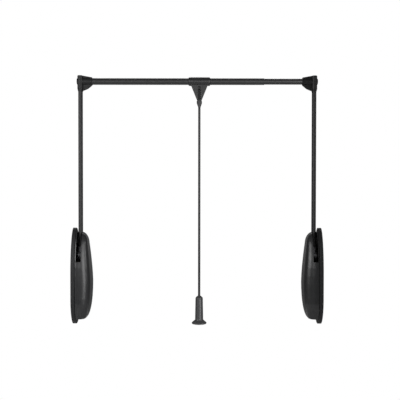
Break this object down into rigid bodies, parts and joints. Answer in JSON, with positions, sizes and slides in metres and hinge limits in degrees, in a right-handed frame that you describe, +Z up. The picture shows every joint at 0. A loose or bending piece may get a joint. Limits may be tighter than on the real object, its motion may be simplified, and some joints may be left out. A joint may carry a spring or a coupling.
{
  "type": "pull down closet rod",
  "caption": "Wardrobe lift: a telescopic hanging rod on sprung, damped swing arms in wall housings, lowered by a hanging pull rod with a flared grip.",
  "frame": {"origin": "the left housing's wall face, on the pivot axis", "axes": "+X towards the right housing along the pivot axis and the hanging rod, +Y towards the wardrobe's back, +Z up along the arms at rest"},
  "size_m": [0.849, 0.11, 0.8493],
  "materials": {
    "housing_plastic": "fine-grained black moulding",
    "cover_plastic": "satin black moulding",
    "connector_plastic": "satin black moulding",
    "grip_plastic": "satin black moulding",
    "plug_plastic": "dark moulding",
    "bush_plastic": "natural acetal",
    "rod_paint": "black powder coat",
    "arm_paint": "black powder coat",
    "black_tube": "black lacquer",
    "damper_tube": "drawn",
    "ground_steel": "ground",
    "gear_steel": "sintered",
    "cast_zinc": "cast zinc, dark passivated",
    "zinc_plate": "zinc plated",
    "screw_steel": "blackened",
    "rubber_pad": "matt"
  },
  "bodies": {
    "left_housing": {"left_base_tray": "housing_plastic", "left_cover": "cover_plastic", "left_cover_screws": "screw_steel", "left_axle": "ground_steel", "left_axle_ring": "screw_steel", "left_spring_shelf": "zinc_plate", "left_guide_rods": "ground_steel", "left_gas_spring": "black_tube", "left_damper": "damper_tube", "left_stop_pad": "rubber_pad"},
    "left_carriage": {"left_rack_carriage": "cast_zinc", "left_gas_spring_rod": "ground_steel", "left_damper_rod": "ground_steel"},
    "frame": {"left_arm_root": "cast_zinc", "left_bushes": "bush_plastic", "left_pinion": "gear_steel", "left_arm": "arm_paint", "left_arm_rivets": "arm_paint", "left_corner": "connector_plastic", "left_corner_cap": "connector_plastic", "left_corner_screw": "screw_steel", "left_rod_plug": "plug_plastic", "outer_tube": "rod_paint", "pull_rod_bracket": "connector_plastic", "bracket_screw": "screw_steel", "clevis_pin": "ground_steel"},
    "pull_rod": {"rod_head": "connector_plastic", "pull_rod": "arm_paint", "grip": "grip_plastic", "grip_screw": "screw_steel"},
    "right_frame": {"right_arm_root": "cast_zinc", "right_bushes": "bush_plastic", "right_pinion": "gear_steel", "right_arm": "arm_paint", "right_arm_rivets": "arm_paint", "right_corner": "connector_plastic", "right_corner_cap": "connector_plastic", "right_corner_screw": "screw_steel", "right_rod_plug": "plug_plastic", "inner_tube": "rod_paint"},
    "right_housing": {"right_base_tray": "housing_plastic", "right_cover": "cover_plastic", "right_cover_screws": "screw_steel", "right_axle": "ground_steel", "right_axle_ring": "screw_steel", "right_spring_shelf": "zinc_plate", "right_guide_rods": "ground_steel", "right_gas_spring": "black_tube", "right_damper": "damper_tube", "right_stop_pad": "rubber_pad"},
    "right_carriage": {"right_rack_carriage": "cast_zinc", "right_gas_spring_rod": "ground_steel", "right_damper_rod": "ground_steel"}
  },
  "joints": [
    {"name": "left_pivot", "type": "hinge", "parent": "left_housing", "child": "frame", "pos_m": [0, 0, 0], "axis": [1, 0, 0], "range_deg": [0, 95], "stiffness_Nm_per_rad": 8, "springref_deg": -51.57},
    {"name": "left_rack_slide", "type": "slide", "parent": "left_housing", "child": "left_carriage", "axis": [0, 0, -1], "range_m": [0, 0.032]},
    {"name": "rod_telescope", "type": "slide", "parent": "frame", "child": "right_frame", "axis": [1, 0, 0], "range_m": [-0.115, 0.3]},
    {"name": "pull_rod_hinge", "type": "hinge", "parent": "frame", "child": "pull_rod", "pos_m": [0.4315, 0, 0.5626], "axis": [1, 0, 0], "range_deg": [-110, 25]},
    {"name": "right_pivot", "type": "hinge", "parent": "right_frame", "child": "right_housing", "pos_m": [0.849, 0, 0], "axis": [1, 0, 0], "range_deg": [-95, 0]},
    {"name": "right_rack_slide", "type": "slide", "parent": "right_housing", "child": "right_carriage", "axis": [0, 0, -1], "range_m": [0, 0.032]}
  ],
  "couplings": [
    {"joint": "left_rack_slide", "follows": "left_pivot", "m_per_rad": 0.018},
    {"joint": "right_pivot", "follows": "left_pivot", "ratio": -1},
    {"joint": "right_rack_slide", "follows": "left_pivot", "m_per_rad": 0.018}
  ]
}
